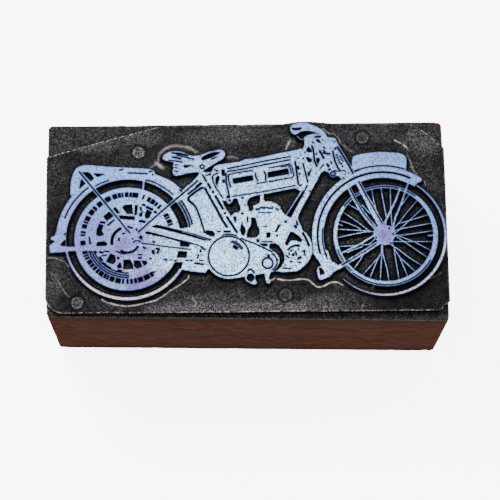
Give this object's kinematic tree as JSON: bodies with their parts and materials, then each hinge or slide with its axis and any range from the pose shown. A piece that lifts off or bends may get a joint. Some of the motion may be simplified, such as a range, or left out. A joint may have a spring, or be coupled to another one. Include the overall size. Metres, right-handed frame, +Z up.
{
  "type": "letterpress printing block",
  "caption": "Type-high letterpress picture block: an etched metal plate with a reversed motorcycle in relief, nailed to a wooden mount.",
  "frame": {"origin": "centre of the bounding box at its base, on the underside of the wooden mount", "axes": "+Z up, out of the printing face; +X along the block's length, towards the front wheel of the picture; +Y towards the top of the picture"},
  "size_m": [0.0574, 0.0298, 0.0233],
  "materials": {
    "inked_wood": "old dark hardwood, oiled and stained by ink",
    "etched_zinc": "dull blue-grey printing face over a blackened etched ground",
    "nail_steel": "ink-blackened steel"
  },
  "bodies": {
    "root": {"wood_mount": "inked_wood", "printing_plate": "etched_zinc", "plate_nails": "nail_steel"}
  },
  "joints": []
}
